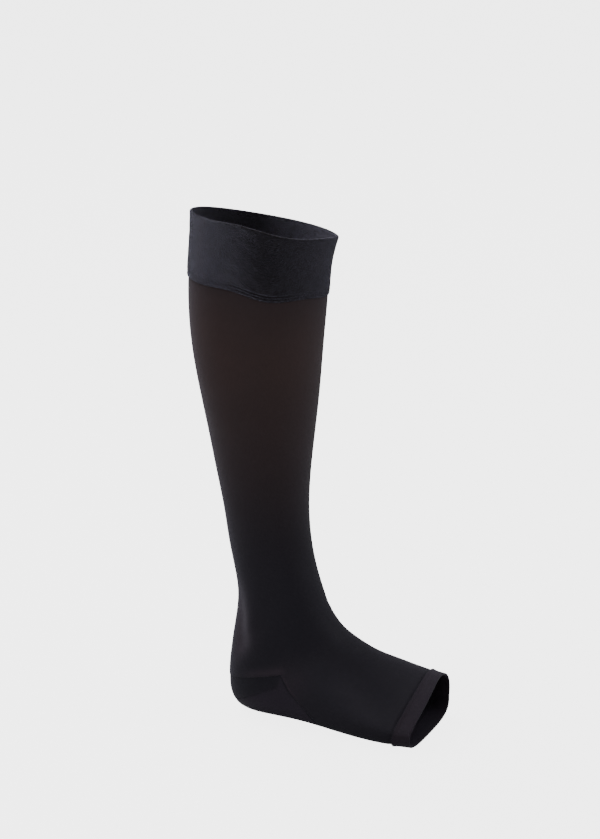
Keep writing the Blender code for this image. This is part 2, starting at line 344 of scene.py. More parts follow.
def palenessAndHighlightAt(station, angle):
    # 0 for plain knit, 1 for the palest; this holds both knit drawn thin and painted highlights
    at = paleKnitAndHighlights
    points = plainPoint(station, angle)
    past = points[..., 0] - tubeForm["heelApex"][0]
    below = tubeForm["heelApex"][1] - points[..., 2]
    above = distancePast(tubeForm["heelSeamBack"], tubeForm["heelApex"], points)
    strip = bell(above - at["stripAbove"], at["stripWidth"])
    strip = strip * softStep(points[..., 0] - at["stripBack"], at["stripBackFade"])
    strip = strip * softStep(at["stripPast"] - past, at["stripPastFade"])
    offCorner = np.hypot(past - at["cornerAhead"], below - at["cornerBelow"])
    corner = bell(offCorner, at["cornerWidth"])
    # painted highlight: a thin light line beside the forward seam's hook
    hookHighlight = bell(outsidePocket(station, angle) - at["hookOff"], at["hookWidth"])
    hookHighlight = hookHighlight * softStep(past - at["hookAhead"], at["hookFade"])
    hookHighlight = hookHighlight * bell(below - at["hookBelow"], at["hookLength"])
    # painted highlight: paler in the hollows beside the tendon, by their depth
    hollow = hollowDepth(station, angle, withRounds=False) / at["hollowFull"]
    pale = at["strip"] * strip + at["corner"] * corner + at["hookHighlight"] * hookHighlight
    pale = pale + at["hollow"] * np.clip(hollow, 0, 1)
    return np.clip(pale, 0, 1) * (station > at["from"])


def stretchAt(station):
    # 0 where the knit lies dense and dark, towards 1 where it is drawn open
    return sum(
        share * bell(station - centre, spread) for centre, spread, share in knitGauge["openings"]
    )


def addGrid(mesh, stations, angles, proud, closedAcross=False, closedAlong=False):
    # rows run down the tube and columns round it; "knit" holds wale and course numbers
    stations, angles, proud = np.broadcast_arrays(stations, angles, proud)
    rows, columns = stations.shape
    points = surfacePoint(stations, angles, proud)
    start = len(mesh["points"])
    mesh["points"].extend(points.reshape(-1, 3).tolist())
    mesh["stretch"].extend(stretchAt(stations).ravel().tolist())
    mesh["pale"].extend(palenessAndHighlightAt(stations, angles).ravel().tolist())
    wales = waleNumber(stations, angles)
    courses = stations / knitGauge["courseHeight"]
    if closedAcross:
        wales = np.hstack([wales, wales[:, :1] + knitGauge["wales"]])
        courses = np.hstack([courses, courses[:, :1]])
    if closedAlong:
        wales = np.vstack([wales, wales[:1]])
        courses = np.vstack([courses, courses[:1]])
    i, j = np.meshgrid(
        np.arange(rows if closedAlong else rows - 1),
        np.arange(columns if closedAcross else columns - 1),
        indexing="ij",
    )
    corners = ((i, j), (i + 1, j), (i + 1, j + 1), (i, j + 1))
    faces = [start + (a % rows) * columns + b % columns for a, b in corners]
    mesh["faces"].extend(np.stack(faces, -1).reshape(-1, 4).tolist())
    knit = [np.stack([wales[a, b], courses[a, b]], -1) for a, b in corners]
    mesh["knit"].extend(np.stack(knit, 2).reshape(-1, 2).tolist())


def emptyMesh():
    return {"points": [], "faces": [], "knit": [], "stretch": [], "pale": []}


def addObject(name, data):
    obj = bpy.data.objects.new(name, data)
    bpy.context.collection.objects.link(obj)
    return obj


def finishMesh(name, mesh, material, weld=False):
    data = bpy.data.meshes.new(name)
    data.from_pydata(mesh["points"], [], mesh["faces"])
    uv = data.uv_layers.new(name="knit")
    uv.data.foreach_set("uv", np.array(mesh["knit"], np.float32).ravel())
    for label in ("stretch", "pale"):
        shares = data.attributes.new(label, "FLOAT", "POINT")
        shares.data.foreach_set("value", np.array(mesh[label], np.float32))
    if weld:
        shape = bmesh.new()
        shape.from_mesh(data)
        bmesh.ops.remove_doubles(shape, verts=shape.verts, dist=knitGauge["weld"] * mm)
        shape.to_mesh(data)
        shape.free()
    data.shade_smooth()
    data.materials.append(material)
    return addObject(name, data)


def thicken(obj, wall):
    thickness = obj.modifiers.new("wall", "SOLIDIFY")
    thickness.thickness = wall * mm
    thickness.offset = -1.0
    thickness.use_rim = True


bandTurn = {
    "foldReach": 0.4,  # how far the fold stands out, as a share of the wall
    "foldSteps": 8,
    "edgeShares": (0.25, 0.5, 0.75),  # rows across the sewn edge
}


def turnedBand(name, piece, startOf, endOf, reliefOf, material):
    # a band turned double: up its outer face, over the fold, down its inner face, and closed
    wall = piece["wall"]
    radius, reach = wall / 2, wall * bandTurn["foldReach"]
    angles = np.linspace(0, 2 * math.pi, piece["columns"], endpoint=False)
    fine = np.linspace(0, piece["fineReach"], piece["fineRows"])[:-1]  # closer rows at the seam
    outerRows = np.concatenate([fine, np.linspace(piece["fineReach"], 1, piece["rows"])])
    fold = np.radians(np.linspace(0, 180, bandTurn["foldSteps"] + 1))[1:-1]
    start, end = startOf(angles), endOf(angles)
    direction = np.sign(end - start)
    end = end - direction * reach
    inwards = piece["proud"] - wall
    stations, prouds = [], []
    for share in outerRows:
        station = start + (end - start) * share
        stations.append(station)
        relief = reliefOf(np.abs(station - start), np.abs(end - station), angles)
        prouds.append(piece["proud"] + relief)
    for bend in fold:
        stations.append(end + direction * reach * np.sin(bend))
        prouds.append(np.full(angles.shape, piece["proud"] - radius + radius * np.cos(bend)))
    for share in outerRows[::-2]:
        stations.append(start + (end - start) * share)
        prouds.append(np.full(angles.shape, inwards))
    for share in bandTurn["edgeShares"]:
        dip = math.sin(math.pi * share) * piece["edgeRound"]
        stations.append(start - direction * dip)
        prouds.append(np.full(angles.shape, inwards + wall * share))
    mesh = emptyMesh()
    stations, prouds = np.array(stations), np.array(prouds)
    if direction[0] < 0:  # faces point out when rows run down the tube
        stations, prouds = stations[::-1], prouds[::-1]
    addGrid(mesh, stations, angles[None, :], prouds, closedAcross=True, closedAlong=True)
    return finishMesh(name, mesh, material)


def feed(tree, value, socket):
    # a link from another node's output, or the socket's own value
    if isinstance(value, bpy.types.NodeSocket):
        tree.links.new(value, socket)
    elif socket.type == "RGBA":
        socket.default_value = (*value, 1.0)
    else:
        socket.default_value = value


def feedAll(tree, node, values):
    for label, value in values.items():
        feed(tree, value, node.inputs[label])


def newGroup(name, inputs, outputs):
    group = bpy.data.node_groups.new(name, "ShaderNodeTree")
    for label, kind, value in inputs:
        socket = group.interface.new_socket(label, in_out="INPUT", socket_type=kind)
        if value is not None:
            socket.default_value = value
    for label in outputs:
        kind = "NodeSocketColor" if label == "Color" else "NodeSocketFloat"
        group.interface.new_socket(label, in_out="OUTPUT", socket_type=kind)
    given, result = group.nodes.new("NodeGroupInput"), group.nodes.new("NodeGroupOutput")
    return group, given.outputs, result.inputs


def placeGroup(tree, group, values):
    node = tree.nodes.new("ShaderNodeGroup")
    node.node_tree = group
    feedAll(tree, node, values)
    return node.outputs


def mathNode(tree, operation, *values):
    node = tree.nodes.new("ShaderNodeMath")
    node.operation = operation
    for socket, value in zip(node.inputs, values):
        feed(tree, value, socket)
    return node.outputs[0]


def vectorNode(tree, operation, first, second):
    node = tree.nodes.new("ShaderNodeVectorMath")
    node.operation = operation
    feed(tree, first, node.inputs[0])
    feed(tree, second, node.inputs["Scale" if operation == "SCALE" else 1])
    return node.outputs[0]


def noiseNode(tree, vector, scale, detail=2.0, roughness=0.5, output="Fac"):
    node = tree.nodes.new("ShaderNodeTexNoise")
    values = {"Vector": vector, "Scale": scale, "Detail": detail, "Roughness": roughness}
    feedAll(tree, node, values)
    return node.outputs[output]


def rangeNode(tree, value, given, wanted=(0.0, 1.0)):
    node = tree.nodes.new("ShaderNodeMapRange")
    labels = ("Value", "From Min", "From Max", "To Min", "To Max")
    feedAll(tree, node, dict(zip(labels, (value, *given, *wanted))))
    return node.outputs["Result"]


def waveNode(tree, operation, turns):
    # swings between 0 and 1, once in each turn
    wave = mathNode(tree, operation, mathNode(tree, "MULTIPLY", turns, 2 * math.pi))
    return rangeNode(tree, wave, (-1.0, 1.0))


def mixColor(tree, factor, first, second):
    node = tree.nodes.new("ShaderNodeMix")
    node.data_type = "RGBA"
    sockets = (node.inputs[0], node.inputs[6], node.inputs[7])
    for socket, value in zip(sockets, (factor, first, second)):
        feed(tree, value, socket)
    return node.outputs[2]


stitchForm = {
    "wander": (0.21, 0.09, 0.0),  # noise of the wales' sideways wander, for a wale and a course
    "shade": (0.25, 0.85),  # the heights between which a loop goes from shade to light
}


def makeKnitStitch():
    # plain knit: each wale is a column of slanted loop legs, with a groove to its neighbour
    group, given, result = newGroup(
        "knitStitch",
        (
            ("Knit", "NodeSocketVector", None),
            ("Slant", "NodeSocketFloat", 1.1),
            ("Groove", "NodeSocketFloat", 0.6),
            ("Unevenness", "NodeSocketFloat", 0.25),
        ),
        ("Height", "Lit"),
    )
    split = group.nodes.new("ShaderNodeSeparateXYZ")
    feed(group, given["Knit"], split.inputs[0])
    wide = vectorNode(group, "MULTIPLY", given["Knit"], stitchForm["wander"])
    wander = mathNode(group, "SUBTRACT", noiseNode(group, wide, 1.0, detail=3.0), 0.5)
    wander = mathNode(group, "MULTIPLY", wander, given["Unevenness"])
    across = mathNode(group, "ADD", split.outputs["X"], wander)
    phase = mathNode(group, "SUBTRACT", mathNode(group, "FRACT", across), 0.5)
    slanted = mathNode(group, "MULTIPLY", mathNode(group, "ABSOLUTE", phase), given["Slant"])
    loop = waveNode(group, "SINE", mathNode(group, "ADD", split.outputs["Y"], slanted))
    ridge = waveNode(group, "COSINE", phase)
    grooved = mathNode(group, "MULTIPLY", ridge, given["Groove"])
    rest = mathNode(group, "SUBTRACT", 1.0, given["Groove"])
    height = mathNode(group, "ADD", grooved, mathNode(group, "MULTIPLY", loop, rest))
    feed(group, height, result["Height"])
    feed(group, rangeNode(group, height, stitchForm["shade"]), result["Lit"])
    return group


def makeCrepe():
    # the low crinkles of a drawn-in knit
    group, given, result = newGroup(
        "crepe",
        (
            ("Knit", "NodeSocketVector", None),
            ("Scale", "NodeSocketVector", (0.5, 0.25, 0.0)),
            ("Amount", "NodeSocketFloat", 0.25),
        ),
        ("Height",),
    )
    place = vectorNode(group, "MULTIPLY", given["Knit"], given["Scale"])
    crinkles = noiseNode(group, place, 1.0, detail=3.0, roughness=0.6)
    feed(group, mathNode(group, "MULTIPLY", crinkles, given["Amount"]), result["Height"])
    return group


toneForm = {
    "patches": 26.0,  # noise of the uneven dye, in a metre
    "spread": (0.3, 0.7),  # the part of the noise that the mottle covers
}


def makeYarnTone():
    # the yarn's colour: browner where it is drawn open and softly uneven; painted shade makes it
    # darker in the grooves, and the Pale colour is laid in by Paleness, both for knit drawn thin
    # and for painted highlights
    group, given, result = newGroup(
        "yarnTone",
        (
            ("Place", "NodeSocketVector", None),
            ("Dense", "NodeSocketColor", (0.02, 0.02, 0.02, 1.0)),
            ("Open", "NodeSocketColor", (0.03, 0.02, 0.02, 1.0)),
            ("Stretch", "NodeSocketFloat", 0.0),
            ("Pale", "NodeSocketColor", (0.03, 0.03, 0.03, 1.0)),
            ("Paleness", "NodeSocketFloat", 0.0),
            ("Slub", "NodeSocketVector", None),
            ("Lit", "NodeSocketFloat", 0.5),
            ("Groove Shade", "NodeSocketFloat", 0.3),
            ("Mottle", "NodeSocketFloat", 0.2),
        ),
        ("Color",),
    )
    base = mixColor(group, given["Stretch"], given["Dense"], given["Open"])
    # paler where the knit is drawn thin, and painted highlights where the mask comes from the
    # heel's hook seam and the ankle hollows
    base = mixColor(group, given["Paleness"], base, given["Pale"])
    patches = noiseNode(group, given["Place"], toneForm["patches"], detail=4.0, roughness=0.6)
    slubs = noiseNode(group, given["Slub"], 1.0, detail=3.0, roughness=0.7)
    mixed = mathNode(group, "MULTIPLY", mathNode(group, "ADD", patches, slubs), 0.5)
    low = mathNode(group, "SUBTRACT", 1.0, given["Mottle"])
    high = mathNode(group, "ADD", 1.0, given["Mottle"])
    uneven = rangeNode(group, mixed, toneForm["spread"], (low, high))
    # painted shade: the colour is darkened where the stitch height is low, in the grooves between
    # the wales
    shade = mathNode(group, "SUBTRACT", 1.0, given["Groove Shade"])
    grooves = rangeNode(group, given["Lit"], (0.0, 1.0), (shade, 1.0))
    tone = mathNode(group, "MULTIPLY", grooves, uneven)
    feed(group, vectorNode(group, "SCALE", base, tone), result["Color"])
    return group


fuzzForm = {
    # noise and cells in a metre
    "bends": 90.0, "bend": (0.006, 0.006, 0.006),
    "cells": 420.0, "fibreWidth": 0.05,
    "tufts": 240.0, "tuftSpread": (0.55, 0.7),
    "rubs": 14.0, "rubSpread": (0.4, 0.7),
}


def makeFuzz():
    # short pale fibre ends worked out of the knit, and the matt rub of wear between them
    group, given, result = newGroup(
        "fuzz",
        (
            ("Place", "NodeSocketVector", None),
            ("Amount", "NodeSocketFloat", 0.3),
            ("Spacing", "NodeSocketFloat", 1.0),
        ),
        ("Fibres", "Rub"),
    )
    place = given["Place"]
    bends = noiseNode(group, place, fuzzForm["bends"], output="Color")
    bent = vectorNode(group, "ADD", place, vectorNode(group, "MULTIPLY", bends, fuzzForm["bend"]))
    cells = group.nodes.new("ShaderNodeTexVoronoi")
    cells.feature = "DISTANCE_TO_EDGE"
    closeness = mathNode(group, "DIVIDE", fuzzForm["cells"], given["Spacing"])
    feedAll(group, cells, {"Vector": bent, "Scale": closeness})
    lines = rangeNode(
        group, cells.outputs["Distance"], (0.0, fuzzForm["fibreWidth"]), wanted=(1.0, 0.0)
    )
    tufts = noiseNode(group, place, fuzzForm["tufts"])
    fibres = mathNode(group, "MULTIPLY", lines, rangeNode(group, tufts, fuzzForm["tuftSpread"]))
    feed(group, mathNode(group, "MULTIPLY", fibres, given["Amount"]), result["Fibres"])
    rub = noiseNode(group, place, fuzzForm["rubs"], detail=5.0, roughness=0.65)
    feed(group, rangeNode(group, rub, fuzzForm["rubSpread"]), result["Rub"])
    return group


knitStitch = makeKnitStitch()
crepe = makeCrepe()
yarnTone = makeYarnTone()
fuzz = makeFuzz()


def attributeNode(tree, name):
    node = tree.nodes.new("ShaderNodeAttribute")
    node.attribute_name = name
    return node.outputs["Fac"]


def knitMaterial(name, look):
    material = bpy.data.materials.new(name)
    material.use_nodes = True
    tree = material.node_tree
    place = tree.nodes.new("ShaderNodeTexCoord").outputs["Object"]
    uv = tree.nodes.new("ShaderNodeUVMap")
    uv.uv_map = "knit"
    knit = uv.outputs["UV"]

    stitch = placeGroup(tree, knitStitch, {
        "Knit": vectorNode(tree, "MULTIPLY", knit, look["stitchScale"]),
        "Slant": look["slant"], "Groove": look["groove"], "Unevenness": look["unevenness"],
    })
    tone = placeGroup(tree, yarnTone, {
        "Place": place, "Slub": vectorNode(tree, "MULTIPLY", knit, look["slubScale"]),
        "Dense": look["dense"], "Open": look["open"], "Stretch": attributeNode(tree, "stretch"),
        "Pale": look["pale"], "Paleness": attributeNode(tree, "pale"),
        "Lit": stitch["Lit"], "Groove Shade": look["grooveShade"], "Mottle": look["mottle"],
    })
    hairs = placeGroup(tree, fuzz, {
        "Place": place, "Amount": look["fuzz"], "Spacing": look["fuzzSpacing"],
    })
    crinkles = placeGroup(tree, crepe, {
        "Knit": knit, "Scale": look["crepeScale"], "Amount": look["crepe"],
    })

    fibreHeight = mathNode(tree, "MULTIPLY", hairs["Fibres"], look["fibreHeight"])
    height = mathNode(tree, "ADD", stitch["Height"], crinkles["Height"])
    bump = tree.nodes.new("ShaderNodeBump")
    feedAll(tree, bump, {
        "Height": mathNode(tree, "ADD", height, fibreHeight),
        "Strength": look["bump"], "Distance": look["relief"] * mm,
    })
    feedAll(tree, tree.nodes["Principled BSDF"], {
        "Base Color": mixColor(tree, hairs["Fibres"], tone["Color"], look["fibre"]),
        "Roughness": rangeNode(tree, hairs["Rub"], (0.0, 1.0), (look["roughness"], look["rubbed"])),
        "Normal": bump.outputs["Normal"],
        "Specular IOR Level": look["gloss"], "Specular Tint": look["glossTint"],
        "Sheen Weight": look["sheen"], "Sheen Roughness": look["sheenRoughness"],
        "Sheen Tint": look["sheenTint"],
    })
    return material


legLook = {
    "dense": (0.0108, 0.0090, 0.0122),
    "open": (0.0500, 0.0290, 0.0235),
    # the pale colour serves knit drawn thin, and the painted highlights at the heel's hook seam and
    # in the ankle hollows
    "pale": (0.0360, 0.0250, 0.0330),
    "fibre": (0.06, 0.058, 0.066),
    "stitchScale": (1.0, 1.0, 0.0), "slubScale": (1.7, 0.12, 0.0),
    "slant": 1.1, "groove": 0.62, "unevenness": 0.22, "grooveShade": 0.35, "mottle": 0.10,
    "fuzz": 0.16, "fuzzSpacing": 0.6, "fibreHeight": 0.5,
    "roughness": 0.56, "rubbed": 0.66, "gloss": 0.27, "glossTint": (0.86, 0.82, 1.0),
    "crepe": 0.25, "crepeScale": (0.5, 0.25, 0.0),
    "bump": 0.35, "relief": 0.12,
    "sheen": 0.08, "sheenRoughness": 0.55, "sheenTint": (0.76, 0.74, 1.0),
}
heelLook = {
    **legLook,
    # its open knit is the sole's half
    "dense": (0.0097, 0.0085, 0.0116), "open": (0.0240, 0.0175, 0.0260),
    "mottle": 0.14, "gloss": 0.26, "sheen": 0.06,
}
bandLook = {
    **legLook,
    "dense": (0.0112, 0.0093, 0.0084), "open": (0.0115, 0.0092, 0.0082),
    "groove": 0.5, "unevenness": 0.8, "grooveShade": 0.5,
    "mottle": 0.85, "slubScale": (0.5, 0.3, 0.0), "crepe": 2.6, "crepeScale": (0.6, 0.4, 0.0),
    "bump": 1.0, "relief": 0.7,
    "roughness": 0.66, "rubbed": 0.78, "gloss": 0.22, "sheen": 0.44, "sheenRoughness": 0.27,
}
toeLook = {
    **legLook,
    "dense": (0.0200, 0.0130, 0.0185), "open": (0.0200, 0.0130, 0.0185),
    "groove": 0.55, "mottle": 0.16, "fuzz": 0.2, "bump": 0.45, "sheen": 0.1,
}
threadLook = {
    **legLook,
    "dense": (0.020, 0.018, 0.022), "open": (0.020, 0.018, 0.022), "crepe": 0.0,
    "stitchScale": (0.5, 0.5, 0.0), "roughness": 0.5, "rubbed": 0.6, "sheen": 0.25,
}

legKnit = knitMaterial("legKnit", legLook)
heelKnit = knitMaterial("heelKnit", heelLook)
bandKnit = knitMaterial("bandKnit", bandLook)
toeKnit = knitMaterial("toeKnit", toeLook)
thread = knitMaterial("thread", threadLook)
print("materials made")


legTube = {
    "backColumns": 104, "frontColumns": 104,
    "legRows": 158, "footRows": 52,
    "legLength": 330, "footLength": 110,  # about, to space the closer rows
    "wall": 1.2,
    "tuck": 1.5,  # how far it runs up behind the knee band, and on under the toe band
    "fineRows": 8, "fineStep": 0.6,  # closer rows at the heel's seams
    "upperSeamDip": 0.1, "lowerSeamDip": 0.5, "seamReach": 0.8,
    # the dark line behind the toe band's ridge, and how far back the closer rows there reach
    "toeGroove": 0.6, "toeGrooveFrom": 1.4, "toeGrooveWidth": 0.95, "toeGrooveReach": 6,
    # faint tension creases over the bend of the ankle: station, angle, depth, height, spread
    "creases": (
        (338, -6, 0.30, 3.5, 30), (349, 8, 0.38, 3.8, 34), (361, -4, 0.28, 3.6, 28),
        (352, 176, 0.22, 3.2, 24),
    ),
    "creaseBow": 0.004,
}


def sharesTowards(rows, length, fineRows, fineStep):
    # even rows, and then closer ones at the end
    fine = fineRows * fineStep / length
    return np.concatenate([
        np.linspace(0, 1 - fine, rows + 1)[:-1], np.linspace(1 - fine, 1, fineRows + 1)
    ])


def between(start, end, shares):
    return start + (end - start) * shares[:, None]


def creaseDepth(station, angle):
    depth = np.zeros(np.broadcast(station, angle).shape)
    for centre, turn, deep, height, spread in legTube["creases"]:
        bow = turnBetween(angle, turn)
        below = station - centre - legTube["creaseBow"] * bow**2
        depth = depth - deep * bell(below, height) * bell(bow, spread)
    return depth


def toeGroove(fromSeam):
    return -legTube["toeGroove"] * bell(
        fromSeam - legTube["toeGrooveFrom"], legTube["toeGrooveWidth"]
    )


def seamDip(distance, depth):
    return -depth * np.exp(-distance / legTube["seamReach"])


innerApex, outerApex = apexAngle(1, 0.0), apexAngle(-1, 0.0)


def makeLegFoot():
    backCount, frontCount = legTube["backColumns"], legTube["frontColumns"]
    back = np.linspace(innerApex, outerApex, backCount + 1)
    front = np.linspace(outerApex, innerApex + 2 * math.pi, frontCount + 1)[1:-1]
    angles = np.concatenate([back, front])
    spans = np.array([pocketSpan(angle, 0.0) for angle in back])
    spans[0], spans[-1] = spans[0].mean(), spans[-1].mean()
    overFront = np.linspace(spans[-1, 0], spans[0, 0], frontCount + 1)[1:-1]
    legEnd = np.concatenate([spans[:, 0], overFront])
    footStart = np.concatenate([spans[:, 1], overFront])
    border = np.concatenate([np.ones(backCount + 1), np.zeros(frontCount - 1)])

    fineRows, fineStep = legTube["fineRows"], legTube["fineStep"]
    legStart = bandSeamStation(angles) - legTube["tuck"]
    footEnd = toeSeamStation(angles) + legTube["tuck"]
    mesh = emptyMesh()
    shares = sharesTowards(legTube["legRows"], legTube["legLength"], fineRows, fineStep)
    leg = between(legStart, legEnd, shares)
    proud = creaseDepth(leg, angles) + border * seamDip(legEnd - leg, legTube["upperSeamDip"])
    addGrid(mesh, leg, angles[None, :], proud, closedAcross=True)
    shares = 1 - sharesTowards(legTube["footRows"], legTube["footLength"], fineRows, fineStep)[::-1]
    grooveFrom = 1 - legTube["toeGrooveReach"] / legTube["footLength"]
    shares = np.unique(np.concatenate([shares, np.linspace(grooveFrom, 1, fineRows + 1)]))
    foot = between(footStart, footEnd, shares)
    proud = creaseDepth(foot, angles) + border * seamDip(foot - footStart, legTube["lowerSeamDip"])
    proud = proud + toeGroove(toeSeamStation(angles) - foot)
    addGrid(mesh, foot, angles[None, :], proud, closedAcross=True)
    obj = finishMesh("legFoot", mesh, legKnit, weld=True)
    thicken(obj, legTube["wall"])
    return obj


legFoot = makeLegFoot()
print("leg and foot made")


heelPocket = {
    "columns": 170, "rows": 84,
    "wall": 1.2,
    "underlap": 1.0,  # its edge runs on under the leg and the foot
    "underDepth": 0.45, "underFrom": 2.4, "upperSoftness": 0.9, "lowerSoftness": 0.25,
    "backSoftness": 1.5, "backFrom": -4, "backFade": 4,  # the upper seam fades at the back
    "goreBack": (-20, 12.5), "goreFront": (26, 37),  # the line on which the pocket turns
    "goreDepth": 0.30, "goreWidth": 0.7,
    # the sole's half is paler, and its seam a dark line
    "soleFade": 1.2, "apexSlope": 0.3, "apexFade": 0.8,
    "seamShade": 0.9, "seamInside": 0.3, "seamWidth": 0.7,
}


def goreDistance(points):
    return distancePast(heelPocket["goreBack"], heelPocket["goreFront"], points)


def makeHeel():
    margin = -heelPocket["underlap"]
    angles = np.linspace(apexAngle(1, margin), apexAngle(-1, margin), heelPocket["columns"] + 1)
    spans = np.array([pocketSpan(angle, margin) for angle in angles])
    spans[0], spans[-1] = spans[0].mean(), spans[-1].mean()
    stations = between(spans[:, 0], spans[:, 1], np.linspace(0, 1, heelPocket["rows"] + 1))
    grid = np.broadcast_to(angles, stations.shape)
    outside = outsidePocket(stations, grid)
    points = plainPoint(stations, grid)
    above = distancePast(tubeForm["heelSeamBack"], tubeForm["heelApex"], points)
    atBack = softStep(heelPocket["backFrom"] - points[..., 0], heelPocket["backFade"])
    upper = heelPocket["upperSoftness"] + heelPocket["backSoftness"] * atBack
    hair = 0.01  # the upper seam is the nearer one within this
    softness = np.where(above > outside - hair, upper, heelPocket["lowerSoftness"])
    inside = outside + heelPocket["underFrom"] * softness
    under = heelPocket["underDepth"] * softStep(inside, softness)
    gore = goreDistance(points)
    groove = heelPocket["goreDepth"] * bell(gore, heelPocket["goreWidth"])
    mesh = emptyMesh()
    addGrid(mesh, stations, grid, -under - groove)
    apexX, apexHeight = tubeForm["heelApex"]
    beyond = points[..., 0] - apexX - (points[..., 2] - apexHeight) * heelPocket["apexSlope"]
    sole = np.maximum(
        softStep(-gore, heelPocket["soleFade"]), softStep(beyond, heelPocket["apexFade"])
    )
    seam = bell(outside + heelPocket["seamInside"], heelPocket["seamWidth"])
    sole = sole * (1 - heelPocket["seamShade"] * seam)
    mesh["stretch"] = sole.ravel().tolist()
    mesh["pale"] = [0.0] * len(mesh["stretch"])
    obj = finishMesh("heelPocket", mesh, heelKnit, weld=True)
    thicken(obj, heelPocket["wall"])
    return obj


heelPiece = makeHeel()
print("heel pocket made")


kneeBand = {
    "wall": 2.4, "proud": 1.5, "columns": 420, "rows": 50, "edgeRound": 0.35,
    "fineRows": 27, "fineReach": 0.15,
    "stitchLines": (2.4, 4.5), "stitchGroove": 0.45, "stitchSpread": 0.55,
    "rimRoll": 0.06, "rimRollFrom": 1.8, "rimRollWidth": 1.5,
    "edgePress": 0.5, "edgePressWidth": 0.9, "unevenness": 0.16, "seed": 5,
    "joinAngle": 58, "joinHeight": 0.35, "joinWidth": 2.2,
}
toeBand = {
    "wall": 1.8, "proud": 0.6, "columns": 300, "rows": 22, "edgeRound": 0.35,
    "fineRows": 12, "fineReach": 0.3,
    "ridge": 0.6, "ridgeWidth": 1.7, "unevenness": 0.08, "seed": 8,
}


swells = {
    "count": 9, "typical": 3,  # and the height that their sum seldom passes
    "turns": (3, 22), "pitch": (9, 34), "share": (0.4, 1.0), "phase": (0, 6.28),
}


def softWaves(along, angle, seed, size):
    # low uneven swells, the same each run
    random = np.random.default_rng(seed)
    total = np.zeros(np.broadcast(along, angle).shape)
    for _ in range(swells["count"]):
        turns = random.integers(*swells["turns"])
        pitch = random.uniform(*swells["pitch"])
        share = random.uniform(*swells["share"])
        around = np.sin(turns * angle + random.uniform(*swells["phase"]))
        down = np.sin(along * 2 * math.pi / pitch + random.uniform(*swells["phase"]))
        total = total + share * around * down
    return total * size / swells["typical"]


def kneeRelief(fromSeam, fromRim, angles):
    relief = softWaves(fromSeam, angles, kneeBand["seed"], kneeBand["unevenness"])
    for line in kneeBand["stitchLines"]:
        relief = relief - kneeBand["stitchGroove"] * bell(fromSeam - line, kneeBand["stitchSpread"])
    roll = bell(fromRim - kneeBand["rimRollFrom"], kneeBand["rimRollWidth"])
    relief = relief + kneeBand["rimRoll"] * roll
    relief = relief - kneeBand["edgePress"] * bell(fromSeam, kneeBand["edgePressWidth"])
    aside = turnBetween(angles, kneeBand["joinAngle"]) * girthAt(stationOf["rim"]) / 360
    return relief + kneeBand["joinHeight"] * bell(aside, kneeBand["joinWidth"])


def toeRelief(fromSeam, fromEdge, angles):
    relief = softWaves(fromSeam, angles, toeBand["seed"], toeBand["unevenness"])
    return relief + toeBand["ridge"] * bell(fromSeam, toeBand["ridgeWidth"])


kneePiece = turnedBand("kneeBand", kneeBand, bandSeamStation, rimStation, kneeRelief, bandKnit)
toePiece = turnedBand("toeBand", toeBand, toeSeamStation, toeEdgeStation, toeRelief, toeKnit)
print("knee band and toe band made")


threadStitch = {
    "sides": 6, "steps": 7,
    "sink": 0.12, "arch": 0.18, "archPower": 0.5,
    "endShare": 0.35,  # of its thickness, where it goes into the cloth
}


def makeStitches(name, starts, ends, proud, radius, material):
    # each stitch is a short thread that rises from the cloth and goes back in
    starts, ends = np.array(starts, float), np.array(ends, float)
    share = np.linspace(0, 1, threadStitch["steps"])
    path = starts[:, None, :] + (ends - starts)[:, None, :] * share[None, :, None]
    arch = np.sin(math.pi * share) ** threadStitch["archPower"]
    lifted = proud + threadStitch["arch"] * arch - threadStitch["sink"]
    centres = surfacePoint(path[..., 0], path[..., 1], lifted[None, :])
    normals = surfaceNormal(path[..., 0], path[..., 1])
    tangents = np.gradient(centres, axis=1)
    tangents /= np.linalg.norm(tangents, axis=-1, keepdims=True)
    sides = np.cross(tangents, normals)
    turn = np.linspace(0, 2 * math.pi, threadStitch["sides"], endpoint=False)
    thick = radius * mm * (threadStitch["endShare"] + (1 - threadStitch["endShare"]) * arch)
    out = np.cos(turn)[:, None] * normals[:, :, None, :]
    out = out + np.sin(turn)[:, None] * sides[:, :, None, :]
    ring = centres[:, :, None, :] + thick[None, :, None, None] * out
    count, steps, around = ring.shape[:3]
    faces, knit = [], []
    for n in range(count):
        base = n * steps * around
        for k in range(steps - 1):
            for s in range(around):
                t = (s + 1) % around
                faces.append((
                    base + k * around + s, base + (k + 1) * around + s,
                    base + (k + 1) * around + t, base + k * around + t,
                ))
                knit.extend(((s, k), (s, k + 1), (s + 1, k + 1), (s + 1, k)))
        faces.append(tuple(base + s for s in range(around)))
        knit.extend((s, 0) for s in range(around))
        last = base + (steps - 1) * around
        faces.append(tuple(last + s for s in reversed(range(around))))
        knit.extend((s, steps) for s in range(around))
    points = ring.reshape(-1, 3).tolist()
    plain = [0.0] * len(points)
    mesh = {"points": points, "faces": faces, "knit": knit, "stretch": plain, "pale": plain}
    return finishMesh(name, mesh, material)


bandSewing = {
    "pitch": 3.0, "length": 2.1, "radius": 0.24, "sunk": 0.6,
    # the join's slanted stitches, from above the lower edge to below the rim
    "joinPitch": 1.7, "joinLength": 2.6, "joinRadius": 0.2,
    "joinLow": 6, "joinHigh": 2, "joinSlant": 0.5,
    "joinMiddle": 18,  # the station whose girth sets their length
}
linking = {
    "pitch": 1.7, "length": 1.0, "radius": 0.18,
    "heelProud": -0.22, "toeProud": 0.0, "beforeToeSeam": 0.9,
    "heelColumns": 160, "heelSteps": 120, "toeColumns": 360,
}


